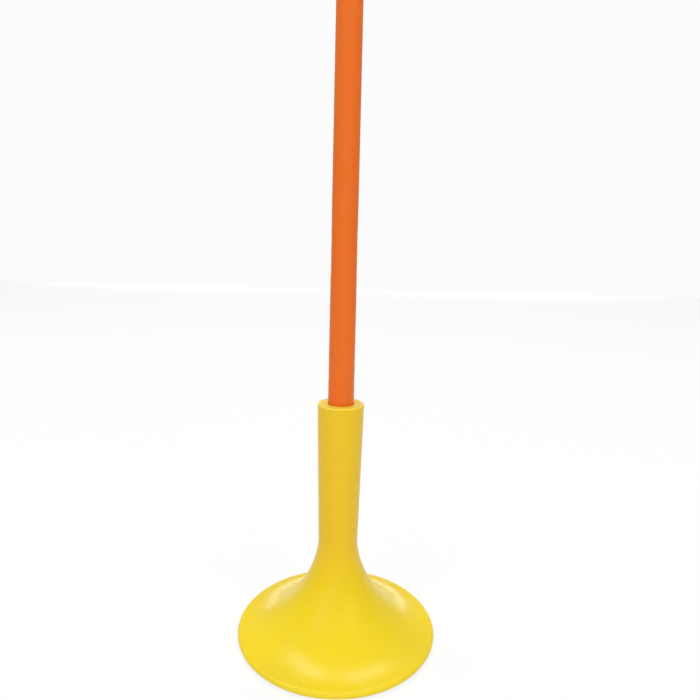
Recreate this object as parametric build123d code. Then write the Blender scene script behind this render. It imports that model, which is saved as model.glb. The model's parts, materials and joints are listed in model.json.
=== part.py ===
"""Windsock on a pole: a flared, ballasted base, a two-piece pole, a turning head with an arm, and a
banded sock that hangs from the arm on a snap hook, a swivel and four bridle lines.

Millimetres, +Z up. The origin is the centre of the foot pad's face on the floor, on the pole's axis.
The arm points along +X."""

import os

from math import acos, atan2, cos, degrees, pi, sin

from build123d import *

# ---- Driving dimensions -------------------------------------------------------------------------
GAP = 0.1  # between pieces that are fitted together but don't turn
RUNNING = 0.05  # radial clearance of a sliding or turning fit
EASED = 0.4  # chamfer on turned and moulded edges
LINK_GAP = 0.3  # between links that hang in each other

# Base
BASE_RADIUS = 96.5
RIM_ROUND = 3.0  # the rim is a full round, twice this thick
RIM_BOTTOM = 1.0  # the rim's height above the floor
FLARE_REACH = 44.6  # how far the flare runs in, almost level, from the rim
FLARE_RISE = 2.5
FLARE_DROP = 30.4  # how far the neck runs down, upright, before it flares
WAIST_RADIUS = 19.1
WAIST_Z = 93.5
SLEEVE_RADIUS = 22.6
SLEEVE_TOP = 229.5
SLEEVE_ROUND = 1.2
SOCKET_BOTTOM = 38.0
PAD_RADIUS = 88.0
PAD_THICK = 2.0
PAD_GROOVE = (1.6, 0.6)  # width, depth
PAD_GROOVE_RADII = (30.0, 50.0, 70.0)
PLATE_RADIUS = 75.0
PLATE_THICK = 5.0
SCREW_CIRCLE = 40.0
SCREW_RADIUS = 2.5
SCREW_HEAD_RADIUS = 5.0
SCREW_LENGTH = 20.0

# Pole
POLE_RADIUS = 12.5
POLE_BORE = 10.5
TUBE_LENGTH = 600.0
PLUG_FLANGE = 3.0
JOINER_COLLAR = 6.0
JOINER_REACH = 60.0
JOINER_BORE = 8.2
RIVET_RADIUS = 1.6
RIVET_HEAD = (3.2, 1.2)  # radius, height
RIVET_BELOW = 18.0  # below the joiner's collar

# Turning head
BOLT_RADIUS = 3.0
BOLT_HEAD = (5.0, 4.0)  # half across flats, height
TOP_FLANGE = 4.0
TOP_SPIGOT = 30.0
WASHER = (8.0, 1.5)  # radius, thickness
HUB_RADIUS = 13.0
HUB_HEIGHT = 26.0
BUSH_RADIUS = 5.0
CAP_HEIGHT = 15.0
CAP_CAVITY_RADIUS = 9.0
CAP_LIP = (1.4, 2.0)  # thickness, depth
NUT_HEIGHT = 5.5
BOSS_RADIUS = 6.0
BOSS_END = 24.0
ARM_WIRE = 2.0
ARM_START = 8.0
ARM_REACH = 115.0  # pole axis to the wire that the hook hangs on
EYE_RING = 6.0
SET_SCREW_RADIUS = 2.0
SET_SCREW_X = 17.0

# Snap hook and swivel
HOOK_WIRE = 1.25
HOOK_BEND = 5.0
HOOK_STRAIGHT = 22.0
GATE_WIRE = 1.1
GATE_LENGTH = 15.0
GATE_PIN = 0.6
EAR = (2.2, 0.8)  # radius, thickness
LINK_RING = 3.6
LINK_WIRE = 0.9
BARREL_RADIUS = 3.5
BARREL_LENGTH = 12.0
SHANK_RADIUS = 1.5
SHANK_HEAD = (2.4, 2.0)  # radius, height
SPLIT_RING = 6.0
SPLIT_WIRE = 1.0

# Bridle and sock
LINE_RADIUS = 0.9
LINE_BEND = 2.4
LINE_COUNT = 4
APEX_KNOT = 4.6
END_KNOT = 2.6
MOUTH_DROP = 115.0  # bridle ring to the mouth's edge
SOCK_LENGTH = 400.0
MOUTH_RADIUS = 64.8
TAIL_RADIUS = 38.5
HEM_THICK = 2.0
MOUTH_HEM = 20.0
TAIL_HEM = 10.0
CLOTH_THICK = 1.0
BAND_COUNT = 5
HOOP_WIRE = 1.5
HOOP_POCKET = 0.7  # hem material round the hoop
GROMMET_BELOW = 11.0
GROMMET = (3.0, 2.0, 5.0, 0.6)  # barrel radius, hole radius, flange radius, flange thickness
SEAM_ANGLE = 9.0
SEAM_THICK = 0.8
SEAM_AT = 135.0  # degrees round from the arm's direction

# ---- Heights that follow from them --------------------------------------------------------------
TUBE_BOTTOM = SOCKET_BOTTOM + PLUG_FLANGE
JOINT_Z = TUBE_BOTTOM + TUBE_LENGTH
UPPER_BOTTOM = JOINT_Z + JOINER_COLLAR
UPPER_TOP = UPPER_BOTTOM + TUBE_LENGTH
LOWER_WASHER_Z = UPPER_TOP + TOP_FLANGE
HUB_Z = LOWER_WASHER_Z + WASHER[1] + 0.2
HUB_TOP = HUB_Z + HUB_HEIGHT
UPPER_WASHER_Z = HUB_TOP + 0.3
NUT_Z = UPPER_WASHER_Z + WASHER[1]
ARM_Z = HUB_Z + HUB_HEIGHT / 2

HOOK_TOP_Z = ARM_Z + ARM_WIRE + LINK_GAP - (HOOK_BEND - HOOK_WIRE)  # centre of the top bend
HOOK_FOOT_Z = HOOK_TOP_Z - HOOK_STRAIGHT  # centre of the bottom bend
HOOK_WIRE_Z = HOOK_FOOT_Z - HOOK_BEND  # the wire that the swivel hangs on
GATE_X = ARM_REACH + HOOK_BEND
GATE_PIN_Z = HOOK_FOOT_Z + 4.0
SWIVEL_EYE_Z = HOOK_WIRE_Z + HOOK_WIRE + LINK_GAP + LINK_WIRE - LINK_RING
BARREL_TOP = SWIVEL_EYE_Z - LINK_RING - LINK_WIRE / 2
BARREL_BOTTOM = BARREL_TOP - BARREL_LENGTH
LOWER_EYE_Z = BARREL_BOTTOM - 1.2 - LINK_RING
SPLIT_RING_Z = LOWER_EYE_Z - LINK_RING + LINK_WIRE + GAP + SPLIT_WIRE - SPLIT_RING
APEX_Z = SPLIT_RING_Z - SPLIT_RING

MOUTH_Z = APEX_Z - MOUTH_DROP
BAND_TOP = MOUTH_Z - MOUTH_HEM
TAIL_Z = MOUTH_Z - SOCK_LENGTH
BAND_BOTTOM = TAIL_Z + TAIL_HEM
GROMMET_Z = MOUTH_Z - GROMMET_BELOW
HOOP_RADIUS = MOUTH_RADIUS - HEM_THICK / 2
LINE_END = MOUTH_RADIUS + GROMMET[3] + 0.3  # the line's end, at its knot


# ---- Small helpers ------------------------------------------------------------------------------
def turned(*points):
    """A solid turned about the Z axis from an outline of (radius, height) points."""
    return revolve(Plane.XZ * make_face(Polyline(*points, close=True)), Axis.Z)


def rod(radius, bottom, top):
    """An upright cylinder on the Z axis."""
    return Pos(0, 0, bottom) * Cylinder(radius, top - bottom, align=(Align.CENTER, Align.CENTER, Align.MIN))


def tube(outer, inner, bottom, top):
    return rod(outer, bottom, top) - rod(inner, bottom, top)


def cross_rod(radius, start, end, height):
    """A cylinder along X, from start to end."""
    return Pos(start, 0, height) * Rot(0, 90, 0) * Cylinder(
        radius, end - start, align=(Align.CENTER, Align.CENTER, Align.MIN)
    )


def hexagon(half_flats, bottom, top):
    """An upright hexagonal prism."""
    corner = half_flats / cos(pi / 6)
    return Pos(0, 0, bottom) * extrude(RegularPolygon(corner, 6), top - bottom)


def ring_in_xz(radius, wire, x, z):
    return Pos(x, 0, z) * Rot(90, 0, 0) * Torus(radius, wire)


def ring_in_yz(radius, wire, x, z):
    return Pos(x, 0, z) * Rot(0, 90, 0) * Torus(radius, wire)


def eased(solid, size=EASED):
    """The solid with its widest round edges chamfered."""
    return chamfer(solid.edges().filter_by(GeomType.CIRCLE).group_by(SortBy.RADIUS)[-1], size)


def around(solid, angles):
    """One solid for each angle, turned about the Z axis."""
    return [Rot(0, 0, a) * solid for a in angles]


def sock_radius(z):
    """The sock's outer radius at a height."""
    share = (BAND_TOP - z) / (BAND_TOP - BAND_BOTTOM)
    return MOUTH_RADIUS + (TAIL_RADIUS - MOUTH_RADIUS) * share


LINE_ANGLES = [360 / LINE_COUNT * i for i in range(LINE_COUNT)]
SCREW_ANGLES = [45 + 90 * i for i in range(4)]
SOCK_AXIS = Pos(ARM_REACH, 0, 0)


# ---- Base ---------------------------------------------------------------------------------------
def base_moulding():
    """The flared foot and tall sleeve, one moulding, with the pole's blind socket."""
    rim_inner = BASE_RADIUS - RIM_ROUND
    rim_middle = RIM_BOTTOM + RIM_ROUND
    slope = atan2(FLARE_RISE, FLARE_REACH)
    rim_start = (rim_inner + RIM_ROUND * sin(slope), rim_middle + RIM_ROUND * cos(slope))
    plate_top = PAD_THICK + PLATE_THICK
    socket = POLE_RADIUS + RUNNING
    sleeve = Polyline(
        (0, plate_top), (0, SOCKET_BOTTOM), (socket, SOCKET_BOTTOM), (socket, SLEEVE_TOP),
        (SLEEVE_RADIUS, SLEEVE_TOP), (WAIST_RADIUS, WAIST_Z),
    )
    flare = Bezier(
        (WAIST_RADIUS, WAIST_Z), (WAIST_RADIUS, WAIST_Z - FLARE_DROP),
        (rim_start[0] - FLARE_REACH, rim_start[1] + FLARE_RISE), rim_start,
    )
    rim = ThreePointArc(rim_start, (BASE_RADIUS, rim_middle), (rim_inner, RIM_BOTTOM))
    underside = Polyline(
        (rim_inner, RIM_BOTTOM), (PAD_RADIUS + GAP, RIM_BOTTOM), (PAD_RADIUS + GAP, PAD_THICK),
        (PLATE_RADIUS + GAP, PAD_THICK), (PLATE_RADIUS + GAP, plate_top), (0, plate_top),
    )
    outline = make_face([*sleeve.edges(), *flare.edges(), *rim.edges(), *underside.edges()])
    body = revolve(Plane.XZ * outline, Axis.Z)
    body = fillet(body.edges().group_by(Axis.Z)[-1], SLEEVE_ROUND)
    pilot = Pos(SCREW_CIRCLE, 0, 0) * rod(SCREW_RADIUS + RUNNING, plate_top, PAD_THICK + SCREW_LENGTH + 1)
    for hole in around(pilot, SCREW_ANGLES):
        body -= hole
    return body


def ballast_plate():
    """The steel disc under the moulding, countersunk for its four screws."""
    plate = rod(PLATE_RADIUS, PAD_THICK, PAD_THICK + PLATE_THICK)
    plate = chamfer(plate.edges(), 0.5)
    hole = Pos(SCREW_CIRCLE, 0, 0) * countersunk(GAP)
    for cut in around(hole, SCREW_ANGLES):
        plate -= cut
    return plate


def countersunk(extra=0.0):
    """The outside of a countersunk screw, standing head down, or of its hole with extra room."""
    head, shank = SCREW_HEAD_RADIUS + extra, SCREW_RADIUS + extra
    neck = PAD_THICK + SCREW_HEAD_RADIUS - SCREW_RADIUS
    return turned(
        (0, PAD_THICK), (head, PAD_THICK), (shank, neck), (shank, PAD_THICK + SCREW_LENGTH),
        (0, PAD_THICK + SCREW_LENGTH),
    )


def plate_screws():
    screw = countersunk() - hexagon(1.5, PAD_THICK, PAD_THICK + 2)
    return around(Pos(SCREW_CIRCLE, 0, 0) * screw, SCREW_ANGLES)


def foot_pad():
    """The rubber disc that the base stands on, with grip grooves."""
    pad = eased(rod(PAD_RADIUS, 0, PAD_THICK))
    width, depth = PAD_GROOVE
    for radius in PAD_GROOVE_RADII:
        pad -= tube(radius + width / 2, radius - width / 2, 0, depth)
    return pad


# ---- Pole ---------------------------------------------------------------------------------------
def end_plug(flange_bottom, flange_top, spigot_end):
    """A moulded plug: a flange as wide as the pole, and a spigot inside it."""
    spigot = rod(POLE_BORE - RUNNING, min(flange_top, spigot_end), max(flange_bottom, spigot_end))
    return eased(rod(POLE_RADIUS, flange_bottom, flange_top)) + spigot


def foot_plug():
    plug = end_plug(SOCKET_BOTTOM, TUBE_BOTTOM, TUBE_BOTTOM + 16)
    return plug - rod(6.5, TUBE_BOTTOM, TUBE_BOTTOM + 16)


def pole_joiner():
    """The spigot between the two tubes, with a collar that they butt against."""
    spigot = tube(POLE_BORE - RUNNING, JOINER_BORE, JOINT_Z - JOINER_REACH, UPPER_BOTTOM + JOINER_REACH)
    collar = eased(tube(POLE_RADIUS, JOINER_BORE, JOINT_Z, UPPER_BOTTOM))
    return spigot + collar - rivet_holes()


def rivet_holes():
    return cross_rod(RIVET_RADIUS + GAP / 2, -POLE_RADIUS, POLE_RADIUS, JOINT_Z - RIVET_BELOW)


def joiner_rivets():
    """Two rivets that hold the joiner in the lower tube."""
    head_radius, head_height = RIVET_HEAD
    seat = POLE_RADIUS + 0.2
    start = JOINER_BORE - 0.5
    shank = Polyline((0, seat + head_height), (0, start), (RIVET_RADIUS, start), (RIVET_RADIUS, seat),
                     (head_radius, seat))
    dome_radius = (head_radius**2 + head_height**2) / (2 * head_height)
    rise = degrees(acos(head_radius / dome_radius))
    dome = CenterArc((0, seat + head_height - dome_radius), dome_radius, rise, 90 - rise)
    rivet = revolve(Plane.XZ * make_face([*shank.edges(), *dome.edges()]), Axis.Z)
    return around(Pos(0, 0, JOINT_Z - RIVET_BELOW) * Rot(0, 90, 0) * rivet, (0, 180))


def lower_tube():
    return tube(POLE_RADIUS, POLE_BORE, TUBE_BOTTOM, JOINT_Z) - rivet_holes()


def upper_tube():
    return tube(POLE_RADIUS, POLE_BORE, UPPER_BOTTOM, UPPER_TOP)


def top_plug():
    """The plug that carries the head's bolt, which is held from turning by a hexagonal recess."""
    plug = end_plug(UPPER_TOP, LOWER_WASHER_Z, UPPER_TOP - TOP_SPIGOT)
    plug -= rod(BOLT_RADIUS + GAP, UPPER_TOP - TOP_SPIGOT, LOWER_WASHER_Z)
    half_flats, height = BOLT_HEAD
    return plug - hexagon(half_flats + GAP, UPPER_TOP - TOP_SPIGOT, UPPER_TOP - TOP_SPIGOT + height)


# ---- Turning head -------------------------------------------------------------------------------
def spindle_bolt():
    """The bolt that the hub turns on, its head down inside the top plug."""
    half_flats, height = BOLT_HEAD
    head_z = UPPER_TOP - TOP_SPIGOT
    shank = rod(BOLT_RADIUS, head_z + height, NUT_Z + NUT_HEIGHT + 2)
    return chamfer(shank.edges().group_by(Axis.Z)[-1], 0.6) + hexagon(half_flats, head_z, head_z + height)


def washer(bottom):
    radius, thick = WASHER
    return eased(tube(radius, BOLT_RADIUS + GAP, bottom, bottom + thick), EASED / 2)


def lock_nut():
    """A lock nut: its hexagon, and the collar that grips the thread."""
    nut = hexagon(BOLT_HEAD[0], NUT_Z, NUT_Z + NUT_HEIGHT - 1.5) + rod(4.6, NUT_Z, NUT_Z + NUT_HEIGHT)
    return nut - rod(BOLT_RADIUS + RUNNING, NUT_Z, NUT_Z + NUT_HEIGHT)


def swivel_hub():
    """The hub and the boss that holds the arm."""
    hub = rod(HUB_RADIUS, HUB_Z, HUB_TOP)
    hub = fillet(hub.edges().group_by(Axis.Z)[0], 1.5)
    hub = chamfer(hub.edges().group_by(Axis.Z)[-1], EASED)
    hub += eased(cross_rod(BOSS_RADIUS, 0, BOSS_END, ARM_Z), 2 * EASED)
    hub -= rod(BUSH_RADIUS, HUB_Z, HUB_TOP)
    hub -= cross_rod(ARM_WIRE + GAP, ARM_START - GAP, BOSS_END, ARM_Z)
    hub -= Pos(SET_SCREW_X, 0, 0) * rod(SET_SCREW_RADIUS + GAP, ARM_Z - BOSS_RADIUS, ARM_Z)
    lip, depth = CAP_LIP
    return hub - tube(CAP_CAVITY_RADIUS + lip + GAP, CAP_CAVITY_RADIUS - GAP, HUB_TOP - depth - GAP, HUB_TOP)


def hub_bush():
    """The plain bearing pressed into the hub."""
    return tube(BUSH_RADIUS, BOLT_RADIUS + RUNNING, HUB_Z - GAP, HUB_TOP + GAP)


def hub_cap():
    """The domed rain cap over the nut, with a lip that snaps into the hub."""
    lip, depth = CAP_LIP
    crown = HUB_TOP + CAP_HEIGHT
    inside = crown - 2.0
    outer = Polyline(
        (CAP_CAVITY_RADIUS, HUB_TOP - depth), (CAP_CAVITY_RADIUS + lip, HUB_TOP - depth),
        (CAP_CAVITY_RADIUS + lip, HUB_TOP), (HUB_RADIUS, HUB_TOP), (HUB_RADIUS, HUB_TOP + 4),
    )
    dome = Bezier(
        (HUB_RADIUS, HUB_TOP + 4), (HUB_RADIUS, HUB_TOP + 11), (HUB_RADIUS * 0.6, crown), (0, crown)
    )
    cavity = Polyline((0, crown), (0, inside), (5.5, inside), (CAP_CAVITY_RADIUS, inside - 5),
                      (CAP_CAVITY_RADIUS, HUB_TOP - depth))
    return revolve(Plane.XZ * make_face([*outer.edges(), *dome.edges(), *cavity.edges()]), Axis.Z)


def swivel_arm():
    """The wire arm, with a level eye closed at its end."""
    eye_x = ARM_REACH - EYE_RING
    eye = Pos(eye_x, 0, ARM_Z) * Torus(EYE_RING, ARM_WIRE)
    return cross_rod(ARM_WIRE, ARM_START, eye_x - EYE_RING, ARM_Z) + eye


def arm_set_screw():
    """The headless screw that clamps the arm in its boss."""
    screw = rod(SET_SCREW_RADIUS, ARM_Z - BOSS_RADIUS + 0.3, ARM_Z - ARM_WIRE)
    screw -= hexagon(1.0, ARM_Z - BOSS_RADIUS, ARM_Z - BOSS_RADIUS + 2)
    return Pos(SET_SCREW_X, 0, 0) * screw


# ---- Snap hook and swivel -----------------------------------------------------------------------
def snap_hook():
    """The wire hook, open on one side for its gate, with two ears for the gate's pin."""
    left, right = ARM_REACH - HOOK_BEND, GATE_X
    tip_z = GATE_PIN_Z + GATE_LENGTH + 0.4
    ear_radius, ear_thick = EAR
    route = [
        Line((right, 0, tip_z), (right, 0, HOOK_TOP_Z)),
        ThreePointArc((right, 0, HOOK_TOP_Z), (ARM_REACH, 0, HOOK_TOP_Z + HOOK_BEND), (left, 0, HOOK_TOP_Z)),
        Line((left, 0, HOOK_TOP_Z), (left, 0, HOOK_FOOT_Z)),
        ThreePointArc((left, 0, HOOK_FOOT_Z), (ARM_REACH, 0, HOOK_WIRE_Z), (right, 0, HOOK_FOOT_Z)),
        Line((right, 0, HOOK_FOOT_Z), (right, 0, GATE_PIN_Z - 2.0)),
    ]
    section = Plane(origin=(right, 0, tip_z), z_dir=(0, 0, -1)) * Circle(HOOK_WIRE)
    hook = sweep(section, path=Wire(route))
    hook += Pos(right, 0, GATE_PIN_Z - 2.6) * Box(2 * HOOK_WIRE, 2 * (GATE_WIRE + LINK_GAP + ear_thick), 1.6)
    for side in (-1, 1):
        y = side * (GATE_WIRE + LINK_GAP + ear_thick / 2)
        hook += Pos(right, y, GATE_PIN_Z) * Rot(90, 0, 0) * Cylinder(ear_radius, ear_thick)
    return hook - gate_pin_shape(GAP / 2)


def gate_pin_shape(extra=0.0):
    length = 2 * (GATE_WIRE + LINK_GAP + EAR[1]) + 0.4
    return Pos(GATE_X, 0, GATE_PIN_Z) * Rot(90, 0, 0) * Cylinder(GATE_PIN + extra, length)


def snap_gate():
    """The sprung bar that closes the hook."""
    bar = Pos(GATE_X, 0, 0) * eased(rod(GATE_WIRE, GATE_PIN_Z, GATE_PIN_Z + GATE_LENGTH))
    foot = Pos(GATE_X, 0, GATE_PIN_Z) * Rot(90, 0, 0) * Cylinder(GATE_WIRE + 0.3, 2 * GATE_WIRE)
    return bar + foot - gate_pin_shape(RUNNING)


def swivel_barrel():
    """The swivel's barrel and upper eye, bored for the lower eye's shank."""
    head_radius, head_height = SHANK_HEAD
    floor = BARREL_BOTTOM + 2.0
    half = BARREL_RADIUS
    body = turned(
        (0, BARREL_TOP), (half - 1.2, BARREL_TOP), (half, BARREL_TOP - 1.6), (half, BARREL_BOTTOM + 1.2),
        (half - 0.9, BARREL_BOTTOM), (SHANK_RADIUS + RUNNING, BARREL_BOTTOM),
        (SHANK_RADIUS + RUNNING, floor), (head_radius + 0.2, floor),
        (head_radius + 0.2, floor + head_height + 0.4), (0, floor + head_height + 0.4),
    )
    return SOCK_AXIS * body + ring_in_yz(LINK_RING, LINK_WIRE, ARM_REACH, SWIVEL_EYE_Z)


def swivel_lower_eye():
    """The turning half of the swivel: a headed shank and an eye."""
    head_radius, head_height = SHANK_HEAD
    head_z = BARREL_BOTTOM + 2.2
    shank = rod(SHANK_RADIUS, LOWER_EYE_Z + LINK_RING, head_z) + rod(head_radius, head_z, head_z + head_height)
    return SOCK_AXIS * shank + ring_in_xz(LINK_RING, LINK_WIRE, ARM_REACH, LOWER_EYE_Z)


def bridle_ring():
    return ring_in_yz(SPLIT_RING, SPLIT_WIRE, ARM_REACH, SPLIT_RING_Z)


# ---- Bridle -------------------------------------------------------------------------------------
def apex_ball():
    return Pos(0, 0, APEX_Z - APEX_KNOT + 1.6) * Sphere(APEX_KNOT)


def apex_knot():
    """The four lines' knot round the bridle ring."""
    room = ring_in_yz(SPLIT_RING, SPLIT_WIRE + GAP, 0, SPLIT_RING_Z)
    return SOCK_AXIS * (apex_ball() - room)


def bridle_line():
    """One line: straight down from the knot, then out through its grommet."""
    corner = HOOP_RADIUS - HEM_THICK - 1.6
    route = FilletPolyline((0, 0, APEX_Z - 4), (corner, 0, GROMMET_Z), (LINE_END, 0, GROMMET_Z), radius=LINE_BEND)
    start = route.edges()[0]
    section = Plane(origin=start @ 0, z_dir=start % 0) * Circle(LINE_RADIUS)
    line = sweep(section, path=route)
    return line - apex_ball()


def line_knots():
    """The stopper knots outside the grommets."""
    bead = Pos(LINE_END + 0.8 * END_KNOT, 0, GROMMET_Z) * Sphere(END_KNOT)
    bead -= cross_rod(END_KNOT, LINE_END - END_KNOT, LINE_END, GROMMET_Z)
    return [SOCK_AXIS * b for b in around(bead, LINE_ANGLES)]


# ---- Sock ---------------------------------------------------------------------------------------
def mouth_hoop():
    return SOCK_AXIS * Pos(0, 0, MOUTH_Z - HOOP_WIRE - HOOP_POCKET) * Torus(HOOP_RADIUS, HOOP_WIRE)


def mouth_hem():
    """The tape folded over the hoop and sewn to the cloth, pierced for the grommets."""
    hoop_z = MOUTH_Z - HOOP_WIRE - HOOP_POCKET
    band = tube(MOUTH_RADIUS, MOUTH_RADIUS - HEM_THICK, BAND_TOP, hoop_z)
    roll = Pos(0, 0, hoop_z) * Torus(HOOP_RADIUS, HOOP_WIRE + HOOP_POCKET)
    pocket = Pos(0, 0, hoop_z) * Torus(HOOP_RADIUS, HOOP_WIRE + GAP)
    hem = band + roll - pocket
    hole = cross_rod(GROMMET[0], HOOP_RADIUS - 8, HOOP_RADIUS + 8, GROMMET_Z)
    for cut in around(hole, LINE_ANGLES):
        hem -= cut
    return SOCK_AXIS * hem


def grommets():
    """Four eyelets through the hem: a barrel with a flange on each side."""
    barrel, hole, flange, thick = GROMMET
    outer = MOUTH_RADIUS
    inner = MOUTH_RADIUS - HEM_THICK - 0.25
    eyelet = cross_rod(barrel - RUNNING, inner, outer, GROMMET_Z)
    eyelet += eased(cross_rod(flange, outer, outer + thick, GROMMET_Z), EASED / 2)
    eyelet += eased(cross_rod(flange, inner - thick, inner, GROMMET_Z), EASED / 2)
    eyelet -= cross_rod(hole, inner - thick, outer + thick, GROMMET_Z)
    return [SOCK_AXIS * e for e in around(eyelet, LINE_ANGLES)]


def sock_band(index):
    """One tapered band of cloth, counted from the mouth."""
    height = (BAND_TOP - BAND_BOTTOM) / BAND_COUNT
    top = BAND_TOP - index * height
    bottom = top - height
    wide, narrow = sock_radius(top), sock_radius(bottom)
    outset = (HEM_THICK - CLOTH_THICK) / 2
    return SOCK_AXIS * turned(
        (wide - outset, top), (narrow - outset, bottom),
        (narrow - outset - CLOTH_THICK, bottom), (wide - outset - CLOTH_THICK, top),
    )


def tail_hem():
    return SOCK_AXIS * tube(TAIL_RADIUS, TAIL_RADIUS - HEM_THICK, TAIL_Z, BAND_BOTTOM)


def side_seam():
    """The felled seam that closes the bands, a strip down the outside."""
    outset = (HEM_THICK - CLOTH_THICK) / 2
    wide, narrow = MOUTH_RADIUS - outset, TAIL_RADIUS - outset
    strip = Polyline(
        (wide + SEAM_THICK, BAND_TOP), (wide, BAND_TOP), (narrow, BAND_BOTTOM),
        (narrow + SEAM_THICK, BAND_BOTTOM), close=True,
    )
    seam = revolve(Plane.XZ * make_face(strip), Axis.Z, SEAM_ANGLE)
    return SOCK_AXIS * Rot(0, 0, SEAM_AT) * seam


# ---- Write the nodes ----------------------------------------------------------------------------
def nodes():
    made = {
        "base_moulding": base_moulding(),
        "ballast_plate": ballast_plate(),
        "plate_screws": plate_screws(),
        "foot_pad": foot_pad(),
        "foot_plug": foot_plug(),
        "lower_tube": lower_tube(),
        "pole_joiner": pole_joiner(),
        "joiner_rivets": joiner_rivets(),
        "upper_tube": upper_tube(),
        "top_plug": top_plug(),
        "spindle_bolt": spindle_bolt(),
        "lower_washer": washer(LOWER_WASHER_Z),
        "upper_washer": washer(UPPER_WASHER_Z),
        "lock_nut": lock_nut(),
        "swivel_hub": swivel_hub(),
        "hub_bush": hub_bush(),
        "hub_cap": hub_cap(),
        "swivel_arm": swivel_arm(),
        "arm_set_screw": arm_set_screw(),
        "snap_hook": snap_hook(),
        "gate_pin": gate_pin_shape(),
        "snap_gate": snap_gate(),
        "swivel_barrel": swivel_barrel(),
        "swivel_lower_eye": swivel_lower_eye(),
        "bridle_ring": bridle_ring(),
        "apex_knot": apex_knot(),
        "line_knots": line_knots(),
        "mouth_hoop": mouth_hoop(),
        "mouth_hem": mouth_hem(),
        "grommets": grommets(),
        "side_seam": side_seam(),
        "tail_hem": tail_hem(),
    }
    for number, line in enumerate(around(bridle_line(), LINE_ANGLES), 1):
        made[f"bridle_line_{number}"] = SOCK_AXIS * line
    for index in range(BAND_COUNT):
        made[f"sock_band_{index + 1}"] = sock_band(index)
    return made


def main():
    os.makedirs("parts", exist_ok=True)
    for name, shape in nodes().items():
        solids = [s for piece in shape for s in piece.solids()] if isinstance(shape, list) else shape.solids()
        export_step(solids[0] if len(solids) == 1 else Compound(children=solids), f"parts/{name}.step")


main()
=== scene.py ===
"""The looks of a windsock on a pole: a moulded base, a tube pole, a turning head, and a banded cloth
sock that hangs limp from its bridle. Metres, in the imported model's frame: +Z up, the arm along +X."""

import json
from math import atan2, cos, hypot, pi, radians, sin, tau

import bmesh
import bpy
from mathutils import Matrix, Vector, noise


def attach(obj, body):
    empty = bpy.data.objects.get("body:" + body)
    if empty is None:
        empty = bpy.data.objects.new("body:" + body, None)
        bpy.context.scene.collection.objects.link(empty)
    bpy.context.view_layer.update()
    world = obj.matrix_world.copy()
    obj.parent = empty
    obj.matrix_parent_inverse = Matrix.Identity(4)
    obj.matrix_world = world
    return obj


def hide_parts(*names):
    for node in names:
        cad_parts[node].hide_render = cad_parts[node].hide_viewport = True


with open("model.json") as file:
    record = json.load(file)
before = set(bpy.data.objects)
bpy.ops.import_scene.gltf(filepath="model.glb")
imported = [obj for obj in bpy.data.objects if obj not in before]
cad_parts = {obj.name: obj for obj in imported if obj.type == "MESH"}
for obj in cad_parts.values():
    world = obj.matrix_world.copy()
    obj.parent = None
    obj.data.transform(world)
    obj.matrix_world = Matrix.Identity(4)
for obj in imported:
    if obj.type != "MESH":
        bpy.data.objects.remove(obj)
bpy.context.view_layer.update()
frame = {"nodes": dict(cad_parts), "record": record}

# ---- Camera, floor and light --------------------------------------------------------------------
CAMERA_PLACE = (0.0065, -0.554, 0.3774)
CAMERA_DOWN = 5.02  # degrees below level
CAMERA_ROLL = 1.33  # degrees
CAMERA_LENS = 30.06  # millimetres, on a 36 mm sensor
CAMERA_SHIFT = -0.07
FLOOR_SIZE = 10.0
FLOOR_GREY = 0.8
FLOOR_SEEN_GREY = 0.25
FLOOR_GLOW = 0.75
WORLD_LIGHT = 0.42
WORLD_SEEN = 0.97

# name: place, target, width, height, watts, whether the gloss shows it
SOFTBOXES = {
    "low_strip_behind": ((0, 5.4, 0.36), (0, 0, 0.08), 5.6, 0.5, 36, True),
    "overhead": ((-0.5, 1.65, 5.7), (0, 0, 0), 6.0, 1.2, 138, True),
    "front_left": ((-2.4, -3.2, 3.1), (0, 0, 0.1), 2.8, 2.8, 52, False),
    "front_right": ((2.6, -2.8, 3.05), (0, 0, 0.15), 2.8, 2.8, 52, False),
    "front_fill": ((0, -4.4, 1.5), (0, 0, 0.3), 2.4, 2.0, 24, False),
}


def camera():
    data = bpy.data.cameras.new("camera")
    data.lens = CAMERA_LENS
    data.shift_y = CAMERA_SHIFT
    data.clip_start = 0.01
    obj = bpy.data.objects.new("camera", data)
    obj.location = CAMERA_PLACE
    aim = Matrix.Rotation(radians(90 - CAMERA_DOWN), 4, "X") @ Matrix.Rotation(radians(CAMERA_ROLL), 4, "Z")
    obj.rotation_euler = aim.to_euler()
    bpy.context.scene.collection.objects.link(obj)
    bpy.context.scene.camera = obj
    bpy.context.scene.view_settings.view_transform = "Standard"


def softbox(name, place, target, width, height, watts, in_gloss):
    """A rectangular area light that faces its target."""
    data = bpy.data.lights.new(name, "AREA")
    data.shape = "RECTANGLE"
    data.size = width
    data.size_y = height
    data.energy = watts
    obj = bpy.data.objects.new(name, data)
    obj.location = place
    obj.rotation_euler = (Vector(target) - Vector(place)).to_track_quat("-Z", "Y").to_euler()
    obj.visible_glossy = in_gloss
    obj.visible_camera = False
    bpy.context.scene.collection.objects.link(obj)


# ---- Shader building ----------------------------------------------------------------------------
def add(tree, kind, inputs=None, **settings):
    """Adds a shader node, sets it up, and fills or links its inputs."""
    made = tree.nodes.new("ShaderNode" + kind)
    for name, value in settings.items():
        setattr(made, name, value)
    for key, value in (inputs or {}).items():
        if isinstance(value, bpy.types.NodeSocket):
            tree.links.new(value, made.inputs[key])
        else:
            made.inputs[key].default_value = value
    return made


def out(node, label=0):
    return node.outputs[label]


def math_of(tree, kind, first, second=0.0, third=0.0):
    """One Math node's result."""
    return out(add(tree, "Math", {0: first, 1: second, 2: third}, operation=kind))


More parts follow.
